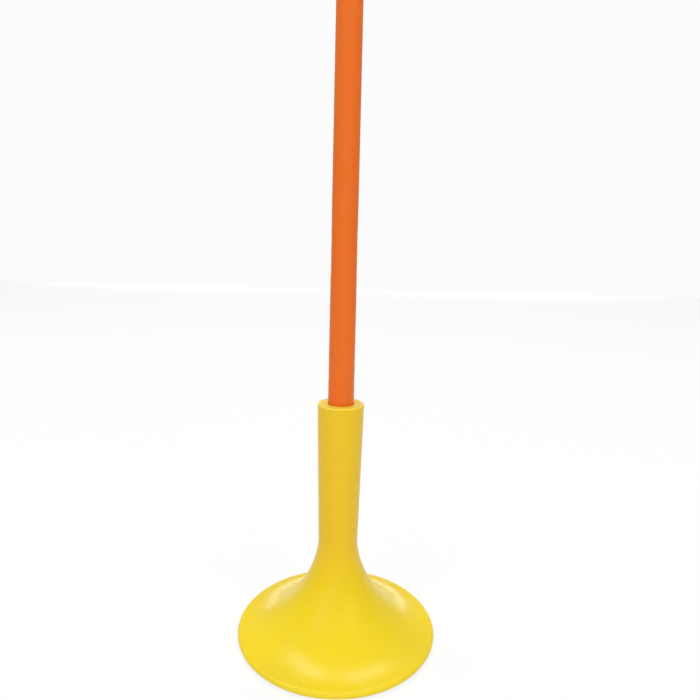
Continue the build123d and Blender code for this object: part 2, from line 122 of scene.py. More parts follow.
def ramp(tree, value, low, high, to_low=0.0, to_high=1.0, smooth=False):
    """A value carried from one range to another, and held at its ends."""
    ends = {"Value": value, "From Min": low, "From Max": high, "To Min": to_low, "To Max": to_high}
    return out(add(tree, "MapRange", ends, interpolation_type="SMOOTHSTEP" if smooth else "LINEAR"))


def solid(colour):
    return (*colour, 1.0)


def blended(tree, share, first, second):
    """Two colours mixed by a share."""
    return out(add(tree, "Mix", {0: share, 6: first, 7: second}, data_type="RGBA"), 2)


def tinted(tree, colour, mask, share, tint):
    """A colour turned towards a tint where the mask shows, by at most a share."""
    return blended(tree, math_of(tree, "MULTIPLY", mask, share), colour, solid(tint))


def noise_of(tree, place, scale, detail=2.0, roughness=0.5):
    values = {"Vector": place, "Scale": scale, "Detail": detail, "Roughness": roughness}
    return out(add(tree, "TexNoise", values))


def stretched(tree, place, factors):
    return out(add(tree, "VectorMath", {0: place, 1: factors}, operation="MULTIPLY"))


def group(name, inputs, outputs):
    """A new shader group with named sockets, and its two end nodes."""
    tree = bpy.data.node_groups.new(name, "ShaderNodeTree")
    for label, kind, value in inputs:
        socket = tree.interface.new_socket(label, in_out="INPUT", socket_type="NodeSocket" + kind)
        if value is not None:
            socket.default_value = value
    for label in outputs:
        tree.interface.new_socket(label, in_out="OUTPUT", socket_type="NodeSocketFloat")
    return tree, tree.nodes.new("NodeGroupInput"), tree.nodes.new("NodeGroupOutput")


def finish_group(tree, end, **results):
    for label, value in results.items():
        tree.links.new(value, end.inputs[label])
    return tree


def skin_group():
    """Moulded plastic: a fine ripple, and a broad cloudiness."""
    tree, start, end = group("moulded_skin", [("Place", "Vector", None), ("Scale", "Float", 900.0)],
                             ("Height", "Cloud"))
    place, scale = out(start, "Place"), out(start, "Scale")
    fine = noise_of(tree, place, scale, 3.0)
    broad = noise_of(tree, place, math_of(tree, "MULTIPLY", scale, 0.04), 3.0)
    return finish_group(tree, end, Height=fine, Cloud=ramp(tree, broad, 0.32, 0.68))


def scuff_group():
    """Thin scratches in three directions, gathered in patches."""
    tree, start, end = group("scuffs", [("Place", "Vector", None), ("Amount", "Float", 0.5)], ("Mask",))
    place = out(start, "Place")
    lines = []
    for factors, wanted in (((60, 900, 160), 0.46), ((1000, 90, 240), 0.54), ((300, 420, 24), 0.5)):
        grain = noise_of(tree, stretched(tree, place, factors), 1.0, 1.0)
        away = math_of(tree, "ABSOLUTE", math_of(tree, "SUBTRACT", grain, wanted))
        lines.append(ramp(tree, away, 0.004, 0.0))
    most = math_of(tree, "MAXIMUM", math_of(tree, "MAXIMUM", lines[0], lines[1]), lines[2])
    patch = noise_of(tree, place, 38.0, 2.0)
    level = math_of(tree, "SUBTRACT", 0.72, math_of(tree, "MULTIPLY", out(start, "Amount"), 0.3))
    gathered = math_of(tree, "MULTIPLY", math_of(tree, "SUBTRACT", patch, level), 8.0)
    kept = ramp(tree, gathered, 0.0, 1.0)
    return finish_group(tree, end, Mask=math_of(tree, "MULTIPLY", most, kept))


def turned_group():
    """Marks that run round turned or drawn metal, and its cloudy tarnish."""
    tree, start, end = group("turned_metal", [("Place", "Vector", None), ("Along", "Vector", (1, 1, 1))],
                             ("Height", "Tarnish"))
    place = out(start, "Place")
    marks = noise_of(tree, stretched(tree, place, out(start, "Along")), 1.0, 3.0, 0.7)
    cloud = noise_of(tree, place, 260.0, 4.0, 0.6)
    return finish_group(tree, end, Height=marks, Tarnish=ramp(tree, cloud, 0.42, 0.72))


def dust_group():
    """Specks and a thin film, more of both low down."""
    tree, start, end = group("dust", [("Place", "Vector", None), ("Low", "Float", 0.0),
                                      ("High", "Float", 1.0)], ("Mask",))
    place = out(start, "Place")
    height = out(add(tree, "SeparateXYZ", {0: place}), "Z")
    low = ramp(tree, height, out(start, "Low"), out(start, "High"), 1.0, 0.0)
    film = ramp(tree, noise_of(tree, place, 70.0, 4.0, 0.65), 0.5, 0.75)
    specks = ramp(tree, noise_of(tree, place, 1500.0, 0.0), 0.72, 0.78)
    both = math_of(tree, "MAXIMUM", math_of(tree, "MULTIPLY", film, 0.5), specks)
    return finish_group(tree, end, Mask=math_of(tree, "MULTIPLY", both, low))


def weave_group():
    """Plain-woven cloth with a grid of thicker threads, laid out on the cut piece in metres."""
    tree, start, end = group("woven_cloth", [("Cut", "Vector", None), ("Thread", "Float", 0.0005),
                                             ("Grid", "Float", 0.005)], ("Height", "Grid", "Slub"))
    cut = out(start, "Cut")
    across = add(tree, "SeparateXYZ", {0: cut})
    waves, bars = [], []
    for axis in ("X", "Y"):
        threads = math_of(tree, "DIVIDE", out(across, axis), out(start, "Thread"))
        waves.append(math_of(tree, "SINE", math_of(tree, "MULTIPLY", threads, pi)))
        half = math_of(tree, "MULTIPLY", out(start, "Grid"), 0.5)
        near = math_of(tree, "PINGPONG", out(across, axis), half)
        wide = math_of(tree, "MULTIPLY", out(start, "Thread"), 1.1)
        bars.append(ramp(tree, near, wide, 0.0))
    cells = math_of(tree, "MULTIPLY", waves[0], waves[1])
    grid = math_of(tree, "MAXIMUM", bars[0], bars[1])
    height = math_of(tree, "MULTIPLY_ADD", cells, 0.22, math_of(tree, "MULTIPLY", grid, 0.8))
    slub = noise_of(tree, stretched(tree, cut, (40, 900, 1)), 1.0, 2.0)
    return finish_group(tree, end, Height=height, Grid=grid, Slub=slub)


def fibre_group():
    """The filaments of twisted thread, and a broader change of shade."""
    tree, start, end = group("twisted_fibres", [("Place", "Vector", None), ("Scale", "Float", 3000.0)],
                             ("Height", "Shade"))
    place = out(start, "Place")
    fine = noise_of(tree, place, out(start, "Scale"), 2.0, 0.7)
    broad = noise_of(tree, place, math_of(tree, "MULTIPLY", out(start, "Scale"), 0.1), 2.0)
    return finish_group(tree, end, Height=fine, Shade=ramp(tree, broad, 0.3, 0.7))


def placed(tree, made, **inputs):
    """A group's node, with its inputs."""
    return add(tree, "Group", inputs, node_tree=made)


def surface(name, constants):
    """A new material: its tree, its Principled shader, and Object coordinates."""
    material = bpy.data.materials.new(name)
    material.use_nodes = True
    tree = material.node_tree
    shader = tree.nodes["Principled BSDF"]
    for label, value in constants.items():
        shader.inputs[label].default_value = value
    return material, tree, shader, out(add(tree, "TexCoord"), "Object")


def wire_up(tree, shader, colour, rough, height, depth):
    tree.links.new(colour, shader.inputs["Base Color"])
    tree.links.new(rough, shader.inputs["Roughness"])
    bump = add(tree, "Bump", {"Height": height, "Distance": depth, "Strength": 1.0})
    tree.links.new(out(bump, "Normal"), shader.inputs["Normal"])


# ---- Finishes -----------------------------------------------------------------------------------
SLEEVE_SHADE_HEIGHTS = (0.02, 0.11)  # heights over which painted shade turns the base's yellow from lemon to a darker, warmer tone up the sleeve
SLEEVE_TOP_HIGHLIGHT = (0.2277, 0.2292)  # heights of the sleeve's top edge, made paler by a painted highlight
RIM_REACH = (0.0915, 0.0962)  # how far out the rubbed rim begins and is fully worn
WORN_WHITE = (0.9, 0.9, 0.9)
FINE_GRAIN = 0.00003  # depth of the grain on the base and the tubes
METAL_GRAIN = 0.00002
CLOTH_GRAIN = 0.00012
FIBRE_GRAIN = 0.00006
THREAD_WIDTH = 0.00045  # of the cloth's own threads


def base_plastic(groups):
    """Glossy yellow: lemon on the foot, with painted shade making it darker and warmer up the sleeve, a
    painted highlight on the sleeve's top edge, rubbed along the rim.
    """
    material, tree, shader, place = surface("yellow_base_plastic", {"Specular IOR Level": 0.33})
    height = out(add(tree, "SeparateXYZ", {0: place}), "Z")
    up = ramp(tree, height, *SLEEVE_SHADE_HEIGHTS, smooth=True)
    # painted shade: the darker, warmer yellow up the sleeve stands in for the lesser light on its sides
    colour = blended(tree, up, solid((0.93, 0.70, 0.010)), solid((0.88, 0.565, 0.009)))
    skin = placed(tree, groups["skin"], Place=place, Scale=520.0)
    colour = tinted(tree, colour, out(skin, "Cloud"), 0.10, (0.80, 0.55, 0.012))
    scuffs = out(placed(tree, groups["scuffs"], Place=place, Amount=0.4))
    colour = tinted(tree, colour, scuffs, 0.16, (1.0, 0.82, 0.25))
    level = stretched(tree, place, (1, 1, 0))
    reach = out(add(tree, "VectorMath", {0: level}, operation="LENGTH"), "Value")
    rim = ramp(tree, reach, *RIM_REACH, smooth=True)
    rubbed = math_of(tree, "MULTIPLY", rim, ramp(tree, noise_of(tree, place, 160.0, 3.0), 0.45, 0.65))
    colour = tinted(tree, colour, rubbed, 0.25, (0.86, 0.66, 0.07))
    # painted highlight: the sleeve's top edge is tinted paler where it catches the overhead light
    mouth = ramp(tree, height, *SLEEVE_TOP_HIGHLIGHT, smooth=True)
    colour = tinted(tree, colour, mouth, 0.8, (1.0, 0.80, 0.09))
    dust = out(placed(tree, groups["dust"], Place=place, Low=0.004, High=0.06))
    colour = tinted(tree, colour, dust, 0.12, (0.75, 0.66, 0.42))
    wear = math_of(tree, "MAXIMUM", math_of(tree, "MAXIMUM", scuffs, rubbed), dust)
    even = ramp(tree, out(skin, "Cloud"), 0.0, 1.0, 0.24, 0.29)
    rough = math_of(tree, "MULTIPLY_ADD", wear, 0.16, even)
    depth = math_of(tree, "MULTIPLY_ADD", scuffs, -0.6, out(skin, "Height"))
    wire_up(tree, shader, colour, rough, depth, FINE_GRAIN)
    return material


def pole_plastic(groups):
    """Drawn orange tube: faint lines down its length, and scuffs across them."""
    material, tree, shader, place = surface("orange_tube_plastic", {"Specular IOR Level": 0.25})
    lines = noise_of(tree, stretched(tree, place, (900, 900, 3)), 1.0, 3.0, 0.6)
    drawn = ramp(tree, lines, 0.35, 0.65)
    colour = tinted(tree, solid((0.86, 0.166, 0.012)), drawn, 0.3, (0.80, 0.142, 0.011))
    scuffs = out(placed(tree, groups["scuffs"], Place=place, Amount=0.6))
    colour = tinted(tree, colour, scuffs, 0.3, (1.0, 0.34, 0.09))
    skin = placed(tree, groups["skin"], Place=place, Scale=700.0)
    even = ramp(tree, out(skin, "Cloud"), 0.0, 1.0, 0.31, 0.39)
    rough = math_of(tree, "MULTIPLY_ADD", scuffs, 0.2, even)
    depth = math_of(tree, "MULTIPLY_ADD", out(skin, "Height"), 0.4, lines)
    wire_up(tree, shader, colour, rough, depth, FINE_GRAIN)
    return material


def plastic(groups, name, colour, worn, rough, grain, depth, specular):
    """Moulded nylon or rubber with an even grain, paler where it is rubbed."""
    material, tree, shader, place = surface(name, {"Specular IOR Level": specular})
    skin = placed(tree, groups["skin"], Place=place, Scale=grain)
    scuffs = out(placed(tree, groups["scuffs"], Place=place, Amount=0.8))
    mixed = tinted(tree, solid(colour), out(skin, "Cloud"), 0.35, worn)
    mixed = tinted(tree, mixed, scuffs, 0.5, [2.2 * c for c in worn])
    rough = math_of(tree, "MULTIPLY_ADD", scuffs, -0.1, ramp(tree, out(skin, "Cloud"), 0.0, 1.0, *rough))
    wire_up(tree, shader, mixed, rough, out(skin, "Height"), depth)
    return material


def metal(groups, name, colour, tarnish, rough, along, amount=0.6):
    """Turned, drawn or plated metal."""
    material, tree, shader, place = surface(name, {"Metallic": 1.0})
    marks = placed(tree, groups["turned"], Place=place, Along=along)
    share = math_of(tree, "MULTIPLY", out(marks, "Tarnish"), amount)
    mixed = blended(tree, share, solid(colour), solid(tarnish))
    scuffs = out(placed(tree, groups["scuffs"], Place=place, Amount=0.7))
    mixed = tinted(tree, mixed, scuffs, 0.3, WORN_WHITE)
    even = ramp(tree, out(marks, "Height"), 0.3, 0.7, *rough)
    dulled = math_of(tree, "MULTIPLY_ADD", share, 0.12, even)
    wire_up(tree, shader, mixed, dulled, out(marks, "Height"), METAL_GRAIN)
    return material


def cloth(groups, name, colour, deep, dirt, grid, sheen):
    """Ripstop nylon: woven on the flat cut, with a grid of thicker threads, and faded in patches."""
    constants = {"Specular IOR Level": 0.3, "Sheen Weight": sheen, "Sheen Roughness": 0.4}
    material, tree, shader, place = surface(name, constants)
    cut = out(add(tree, "UVMap", uv_map="cut"))
    weave = placed(tree, groups["weave"], Cut=cut, Thread=THREAD_WIDTH, Grid=grid)
    faded = ramp(tree, noise_of(tree, place, 14.0, 4.0, 0.6), 0.35, 0.7)
    mixed = tinted(tree, solid(colour), faded, 0.35, deep)
    mixed = tinted(tree, mixed, out(weave, "Grid"), 0.35, deep)
    slub = ramp(tree, out(weave, "Slub"), 0.4, 0.6, 0.0, 0.12)
    mixed = blended(tree, slub, mixed, solid([min(1.0, 1.3 * c + 0.02) for c in colour]))
    grime = ramp(tree, noise_of(tree, place, 55.0, 5.0, 0.7), 0.56, 0.8, 0.0, 0.22)
    mixed = blended(tree, grime, mixed, solid(dirt))
    rough = ramp(tree, out(weave, "Grid"), 0.0, 1.0, 0.50, 0.60)
    wire_up(tree, shader, mixed, rough, out(weave, "Height"), CLOTH_GRAIN)
    return material


def cord_fibre(groups, name, colour, deep, scale):
    """Twisted white filament, with painted shade greying it in its hollows."""
    material, tree, shader, place = surface(name, {"Specular IOR Level": 0.3, "Sheen Weight": 0.2})
    fibres = placed(tree, groups["fibres"], Place=place, Scale=scale)
    mixed = blended(tree, out(fibres, "Shade"), solid(colour), solid(deep))
    # painted shade: the fibres' low places are greyed where shade would fall
    hollow_shade = ramp(tree, out(fibres, "Height"), 0.55, 0.35, 0.0, 0.5)
    mixed = blended(tree, hollow_shade, mixed, solid([0.6 * c for c in deep]))
    rough = ramp(tree, out(fibres, "Height"), 0.3, 0.7, 0.75, 0.58)
    wire_up(tree, shader, mixed, rough, out(fibres, "Height"), FIBRE_GRAIN)
    return material


def all_finishes():
    groups = {"skin": skin_group(), "scuffs": scuff_group(), "turned": turned_group(),
              "dust": dust_group(), "weave": weave_group(), "fibres": fibre_group()}
    # how the marks in metal are stretched: round a turned part, along a drawn or bent wire, or even
    turned, drawn, along_arm = (25, 25, 9000), (6000, 6000, 40), (60, 7000, 7000)
    zinc_marks, rivet_marks, pressed = (700,) * 3, (900,) * 3, (1200,) * 3
    # a cloth's colour, its deeper parts and its grime
    orange = ((0.80, 0.115, 0.012), (0.62, 0.070, 0.010), (0.42, 0.12, 0.05))
    white = ((0.80, 0.79, 0.76), (0.64, 0.63, 0.60), (0.50, 0.47, 0.40))
    tape = ((0.70, 0.085, 0.010), *orange[1:])
    ripstop, no_grid = 0.005, 0.2  # spacing of the thicker threads; wider than any tape
    return {
        "yellow_base": base_plastic(groups),
        "orange_tube": pole_plastic(groups),
        "pad_rubber": plastic(groups, "foot_rubber", (0.020, 0.020, 0.021), (0.045, 0.043, 0.041),
                              (0.68, 0.86), 1300.0, 0.00012, 0.35),
        "black_nylon": plastic(groups, "black_moulded_nylon", (0.014, 0.014, 0.015),
                               (0.035, 0.035, 0.037), (0.36, 0.50), 1600.0, 0.00007, 0.45),
        "zinc_steel": metal(groups, "zinc_plated_steel", (0.60, 0.62, 0.64), (0.42, 0.43, 0.42),
                            (0.28, 0.46), zinc_marks),
        "stainless": metal(groups, "stainless_steel", (0.62, 0.61, 0.59), (0.47, 0.45, 0.42),
                           (0.16, 0.30), along_arm, 0.4),
        "plated_steel": metal(groups, "nickel_plated_steel", (0.66, 0.64, 0.60), (0.40, 0.37, 0.33),
                              (0.12, 0.26), drawn, 0.5),
        "rivet_alloy": metal(groups, "rivet_aluminium", (0.80, 0.80, 0.81), (0.62, 0.62, 0.62),
                             (0.26, 0.42), rivet_marks),
        "bush_bronze": metal(groups, "bearing_bronze", (0.55, 0.34, 0.16), (0.32, 0.20, 0.11),
                             (0.30, 0.46), turned),
        "brass_barrel": metal(groups, "turned_brass", (0.80, 0.58, 0.25), (0.48, 0.32, 0.14),
                              (0.14, 0.30), turned),
        "eyelet_brass": metal(groups, "pressed_brass", (0.82, 0.62, 0.30), (0.52, 0.36, 0.17),
                              (0.16, 0.32), pressed),
        "white_cord": cord_fibre(groups, "white_laid_cord", (0.82, 0.81, 0.78), (0.60, 0.58, 0.54),
                                 2600.0),
        "thread": cord_fibre(groups, "sewing_thread", (0.78, 0.77, 0.74), (0.55, 0.53, 0.50), 5000.0),
        "orange_cloth": cloth(groups, "orange_ripstop", *orange, ripstop, 0.25),
        "white_cloth": cloth(groups, "white_ripstop", *white, ripstop, 0.2),
        "seam_tape": cloth(groups, "orange_seam_tape", *tape, no_grid, 0.15),
    }


# ---- Pieces -------------------------------------------------------------------------------------
def piece(name, mesh, finish, replaced=()):
    """Links a finished mesh into the scene as a piece of the sock."""
    mesh.materials.clear()
    mesh.materials.append(finish)
    for face in mesh.polygons:
        face.use_smooth = True
    obj = bpy.data.objects.new(name, mesh)
    bpy.context.scene.collection.objects.link(obj)
    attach(obj, "sock")
    if replaced:
        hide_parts(*replaced)
    return obj


def mesh_from(bm, name):
    mesh = bpy.data.meshes.new(name)
    bm.to_mesh(mesh)
    bm.free()
    return mesh


# ---- Cords and knots ----------------------------------------------------------------------------
SOCK_X = 0.115  # the sock's axis
APEX_Z = 1.20165  # middle of the knot on the ring
GROMMET_Z = 1.07565  # the eyelets' height
LINE_COUNT = 4
LINE_TOP_Z = APEX_Z - 0.004  # where the lines leave the knot
LINE_CORNER = 0.0602  # how far out a line turns into its eyelet
LINE_END = 0.0657  # how far out it ends
LINE_DIAMETER = 0.0018
CORD_STEP = 0.0005
STRAND_PITCH = 0.0062
STRANDS = 3
STRAND_RADIUS = 0.00041
STRAND_SPREAD = 0.00049  # of the strands' middles from the cord's middle

LOOP_RADIUS = 0.0021  # the loops that hold the ring
LOOP_APART = 0.00098
LOOP_STEPS = 24
WRAP_TURNS = 4.2
WRAP_STEPS = 120
WRAP_RADIUS = 0.0027
WRAP_SWELL = 0.0006
WRAP_TOP_Z = APEX_Z - 0.0018
WRAP_HEIGHT = 0.0052
CORE_RADIUS = 0.0026
CORE_Z = APEX_Z - 0.0044

STOPPER_STEPS = 96
STOPPER_OUT = LINE_END + 0.0018  # middle of a stopper knot
STOPPER_LONG = 0.0009  # half the knot's length, along the line
STOPPER_WIDE = 0.00056
STOPPER_TAIL = ((LINE_END + 0.002, 0.0006, -0.0004), (LINE_END + 0.0044, 0.0009, -0.0009))


def curve_of(lines, kind, radius=0.0):
    """A curve of several splines, and the mesh that it makes."""
    curve = bpy.data.curves.new("line", "CURVE")
    curve.dimensions = "3D"
    curve.bevel_depth = radius
    curve.bevel_resolution = 1
    curve.use_fill_caps = radius > 0
    for line in lines:
        spline = curve.splines.new(kind)
        spline.points.add(len(line) - 1)
        for point, spot in zip(spline.points, line):
            point.co = (*spot, 1.0)
        if kind == "NURBS":
            spline.order_u = 3
            spline.use_endpoint_u = True
            spline.resolution_u = 40
    obj = bpy.data.objects.new("line", curve)
    mesh = bpy.data.meshes.new_from_object(obj)
    bpy.data.objects.remove(obj)
    return mesh


def evenly(points, step):
    """Points spaced evenly along a line."""
    spaced = [points[0].copy()]
    spare = step
    for start, end in zip(points, points[1:]):
        run = (end - start).length
        while run > 0 and spare <= run:
            spaced.append(start.lerp(end, spare / run))
            spare += step
        spare -= run
    return spaced


def strands(line):
    """The paths of the strands laid round a line."""
    centre = evenly(line, CORD_STEP)
    side = (centre[1] - centre[0]).orthogonal().normalized()
    paths = [[] for _ in range(STRANDS)]
    last = len(centre) - 1
    for i, point in enumerate(centre):
        forward = (centre[min(i + 1, last)] - centre[max(i - 1, 0)]).normalized()
        side = (side - forward * side.dot(forward)).normalized()
        other = forward.cross(side)
        for k, path in enumerate(paths):
            turn = tau * (i * CORD_STEP / STRAND_PITCH + k / STRANDS)
            path.append(point + STRAND_SPREAD * (cos(turn) * side + sin(turn) * other))
    return paths


def bridle_lines(finishes):
    """Four laid cords, each from the knot down to its eyelet in the hem."""
    before = 6 * LINE_DIAMETER / hypot(LINE_TOP_Z - GROMMET_Z, LINE_CORNER)  # share of the straight run
    made = []
    for number in range(LINE_COUNT):
        away = Matrix.Rotation(tau * number / LINE_COUNT, 3, "Z") @ Vector((1, 0, 0))
        top = Vector((SOCK_X, 0, LINE_TOP_Z))
        corner = Vector((SOCK_X, 0, GROMMET_Z)) + LINE_CORNER * away
        end = Vector((SOCK_X, 0, GROMMET_Z)) + LINE_END * away
        route = [top, corner.lerp(top, before), corner, end]
        spline = [v.co.copy() for v in curve_of([route], "NURBS").vertices]
        mesh = curve_of(strands(spline), "POLY", STRAND_RADIUS)
        obj = piece(f"laid_line_{number + 1}", mesh, finishes["white_cord"],
                    [f"bridle_line_{number + 1}"])
        made.append((obj, top, spline))
    return made


def bridle_knot(finishes):
    """The lines' doubled top: two loops round the ring, bound together below it."""
    paths = []
    for side in (-LOOP_APART, LOOP_APART):
        turns = [tau * t / LOOP_STEPS for t in range(LOOP_STEPS + 1)]
        paths += strands([Vector((SOCK_X + LOOP_RADIUS * sin(a), side, APEX_Z - LOOP_RADIUS * cos(a)))
                          for a in turns])
    wrap = []
    for t in range(WRAP_STEPS + 1):
        share = t / WRAP_STEPS
        angle = tau * WRAP_TURNS * share
        radius = WRAP_RADIUS + WRAP_SWELL * sin(pi * share)
        wrap.append(Vector((SOCK_X + radius * cos(angle), radius * sin(angle),
                            WRAP_TOP_Z - WRAP_HEIGHT * share)))
    paths += strands(wrap)
    mesh = curve_of(paths, "POLY", STRAND_RADIUS)
    bm = bmesh.new()
    bm.from_mesh(mesh)
    core = Matrix.Translation((SOCK_X, 0, CORE_Z)) @ Matrix.Diagonal((1, 1, 1.1, 1))
    bmesh.ops.create_icosphere(bm, subdivisions=2, radius=CORE_RADIUS, matrix=core)
    bm.to_mesh(mesh)
    bm.free()
    piece("bridle_knot", mesh, finishes["white_cord"], ["apex_knot"])


def stopper_knots(finishes):
    """An overhand knot on each line's end, with a short tail."""
    paths = []
    middle = Matrix.Translation((SOCK_X, 0, GROMMET_Z))
    for number in range(LINE_COUNT):
        turn = middle @ Matrix.Rotation(tau * number / LINE_COUNT, 4, "Z")
        knot = []
        for t in range(STOPPER_STEPS + 1):
            a = tau * t / STOPPER_STEPS
            knot.append(Vector((STOPPER_OUT - STOPPER_LONG * sin(3 * a),
                                STOPPER_WIDE * (sin(a) + 2 * sin(2 * a)),
                                STOPPER_WIDE * (cos(a) - 2 * cos(2 * a)))))
        for line in (knot, STOPPER_TAIL):
            paths += strands([turn @ Vector(spot) for spot in line])
    mesh = curve_of(paths, "POLY", STRAND_RADIUS)
    piece("stopper_knots", mesh, finishes["white_cord"], ["line_knots"])


# ---- Sock cloth ---------------------------------------------------------------------------------
BAND_TOP = 1.06665
BAND_BOTTOM = 0.69665
TAIL_Z = 0.68665
HOOP_Z = 1.08445
HOOP_RADIUS = 0.0638
TAIL_CLOTH_RADIUS = 0.0375
BANDS = 5
BAND_ROWS = 18
TUCKED = (0.005, 0.0025)  # rows of the cloth inside the mouth's hem, above the first band
SEGMENTS = 96
SEAM_COLUMN = 36  # 135 degrees round from the arm
SEAM_COLUMNS = 2
FIRST_ROW = len(TUCKED)
LAST_ROW = FIRST_ROW + BANDS * BAND_ROWS
FULLNESS = (0.045, 0.0)  # spare width of the cut cloth, at the mouth and at the tail
FREE_DROP = 0.20  # below the mouth's hem the folds reach their full depth over this drop
FOLD_DEPTH = 0.0068
FOLD_BIAS = -0.5  # limp cloth stands in more than out
FOLD_LIMIT = 0.0095
RISE_LIMIT = 0.002  # how far a fold may lift the cloth above where it hangs smooth
TAIL_ROOM = 0.0002  # of the settled cloth above the tail's edge
FLUTE_WANDER = (0.45, 1.3, 5)  # how far the flutes wander sideways, and how fast round and down
# each flute's count round the sock, share of the depth, start, and drift down the sock
FLUTES = ((5, 0.50, 0.8, 3.0), (8, 0.36, 2.0, -6.0), (3, 0.24, 2.1, 5.0), (13, 0.08, 0.3, 4.0))
SETTLE_FRAMES = 32
LIMP_NYLON = {"quality": 5, "mass": 0.12, "tension_stiffness": 15, "compression_stiffness": 15,
              "shear_stiffness": 5, "bending_stiffness": 0.05, "air_damping": 3,
              "shrink_min": -FULLNESS[0], "shrink_max": -FULLNESS[1]}
CLOTH_THICK = 0.0005
NARROWING = HOOP_RADIUS - TAIL_CLOTH_RADIUS
CONE_SINE = NARROWING / hypot(NARROWING, BAND_TOP - BAND_BOTTOM)  # of the cone's half angle


def row_heights():
    """The heights of the cloth's rows, from inside the mouth's hem to the tail's edge."""
    band = (BAND_TOP - BAND_BOTTOM) / (BANDS * BAND_ROWS)
    upper = [BAND_TOP + rise for rise in TUCKED]
    body = [BAND_TOP - band * i for i in range(BANDS * BAND_ROWS + 1)]
    return upper + body + [(BAND_BOTTOM + TAIL_Z) / 2, TAIL_Z]


def way_down(z):
    """From 0 at the bands' top edge to 1 at their bottom edge."""
    return min(1.0, max(0.0, (BAND_TOP - z) / (BAND_TOP - BAND_BOTTOM)))


def cloth_radius(z):
    return HOOP_RADIUS + (TAIL_CLOTH_RADIUS - HOOP_RADIUS) * way_down(z)


def fullness(z):
    return FULLNESS[0] + (FULLNESS[1] - FULLNESS[0]) * way_down(z)


def drawn_up(heights):
    """The rows' heights before the cloth lets down to its full length."""
    drawn = heights[:FIRST_ROW + 1]
    for above, z in zip(heights[FIRST_ROW:], heights[FIRST_ROW + 1:]):
        drawn.append(drawn[-1] - (above - z) / (1 + fullness(z)))
    return drawn


def fold(angle, z):
    """How far limp cloth stands in or out before it settles: uneven flutes that drift as they drop."""
    free = min(1.0, max(0.0, (BAND_TOP - z) / FREE_DROP))
    wander, around, down = FLUTE_WANDER
    turn = angle + wander * noise.noise(Vector((around * cos(angle), around * sin(angle), down * z)))
    wave = sum(share * sin(count * turn + start + drift * z) for count, share, start, drift in FLUTES)
    return FOLD_DEPTH * free * free * (3 - 2 * free) * (wave + FOLD_BIAS)


def sewn_tube():
    """The sock's cloth as it is sewn, on a grid of rows and columns, with its flat cut as a UV map."""
    heights = row_heights()
    bm = bmesh.new()
    bmesh.ops.create_cone(bm, cap_ends=False, segments=SEGMENTS, radius1=1, radius2=1, depth=1)
    upright = [e for e in bm.edges if abs(e.verts[0].co.z - e.verts[1].co.z) > 0.5]
    bmesh.ops.subdivide_edges(bm, edges=upright, cuts=len(heights) - 2)
    row_layer = bm.verts.layers.int.new("row")
    column_layer = bm.verts.layers.int.new("column")
    starts = drawn_up(heights)
    for vert in bm.verts:
        row = round((0.5 - vert.co.z) * (len(heights) - 1))
        column = round(atan2(vert.co.y, vert.co.x) / tau * SEGMENTS) % SEGMENTS
        angle, z = tau * column / SEGMENTS, heights[row]
        vert[row_layer], vert[column_layer] = row, column
        radius = cloth_radius(z) + (fold(angle, z) if row > FIRST_ROW else 0)
        vert.co = (SOCK_X + radius * cos(angle), radius * sin(angle), starts[row])
    cut = bm.loops.layers.uv.new("cut")
    for face in bm.faces:
        columns = [(v[column_layer] - SEAM_COLUMN) % SEGMENTS for v in face.verts]
        wraps = max(columns) - min(columns) > 1
        for loop, column in zip(face.loops, columns):
            around = column + SEGMENTS if wraps and column == 0 else column
            turn = tau * (around / SEGMENTS - 0.5) * CONE_SINE
            z = heights[loop.vert[row_layer]]
            reach = cloth_radius(z) / CONE_SINE
            loop[cut].uv = (reach * sin(turn) * (1 + fullness(z)), reach * cos(turn))
    bmesh.ops.recalc_face_normals(bm, faces=bm.faces)
    return mesh_from(bm, "sewn_tube")


def hang(mesh):
    """Lets the cloth settle under its own weight from the hem, and gives the settled mesh."""
    rows = [entry.value for entry in mesh.attributes["row"].data]
    held = [index for index, row in enumerate(rows) if row <= FIRST_ROW]
    obj = bpy.data.objects.new("hanging", mesh)
    bpy.context.scene.collection.objects.link(obj)
    obj.vertex_groups.new(name="held").add(held, 1.0, "REPLACE")
    spare = obj.vertex_groups.new(name="spare")
    heights = row_heights()
    for index, row in enumerate(rows):
        spare.add([index], way_down(heights[row]), "REPLACE")
    modifier = obj.modifiers.new("hang", "CLOTH")
    for name, value in LIMP_NYLON.items():
        setattr(modifier.settings, name, value)
    modifier.settings.vertex_group_mass = "held"
    modifier.settings.vertex_group_shrink = "spare"
    modifier.collision_settings.use_collision = False
    modifier.point_cache.frame_start = 1
    modifier.point_cache.frame_end = SETTLE_FRAMES
    scene = bpy.context.scene
    for number in range(1, SETTLE_FRAMES + 1):
        scene.frame_set(number)
    graph = bpy.context.evaluated_depsgraph_get()
    settled = bpy.data.meshes.new_from_object(obj.evaluated_get(graph))
    bpy.data.objects.remove(obj)
    scene.frame_set(1)
    return settled


def held_back(mesh):
    """Keeps the settled cloth within its limit of the plain cone, and above the tail's edge."""
    heights = row_heights()
    for vert, row in zip(mesh.vertices, mesh.attributes["row"].data):
        outward = Vector((vert.co.x - SOCK_X, vert.co.y, 0))
        z = heights[row.value]
        reach = cloth_radius(z)
        if row.value > FIRST_ROW:
            reach += max(-FOLD_LIMIT, min(FOLD_LIMIT, outward.length - reach))
            z = max(TAIL_Z + TAIL_ROOM, min(vert.co.z, z + RISE_LIMIT))
        spot = outward.normalized() * reach
        vert.co = (SOCK_X + spot.x, spot.y, z)
    return mesh


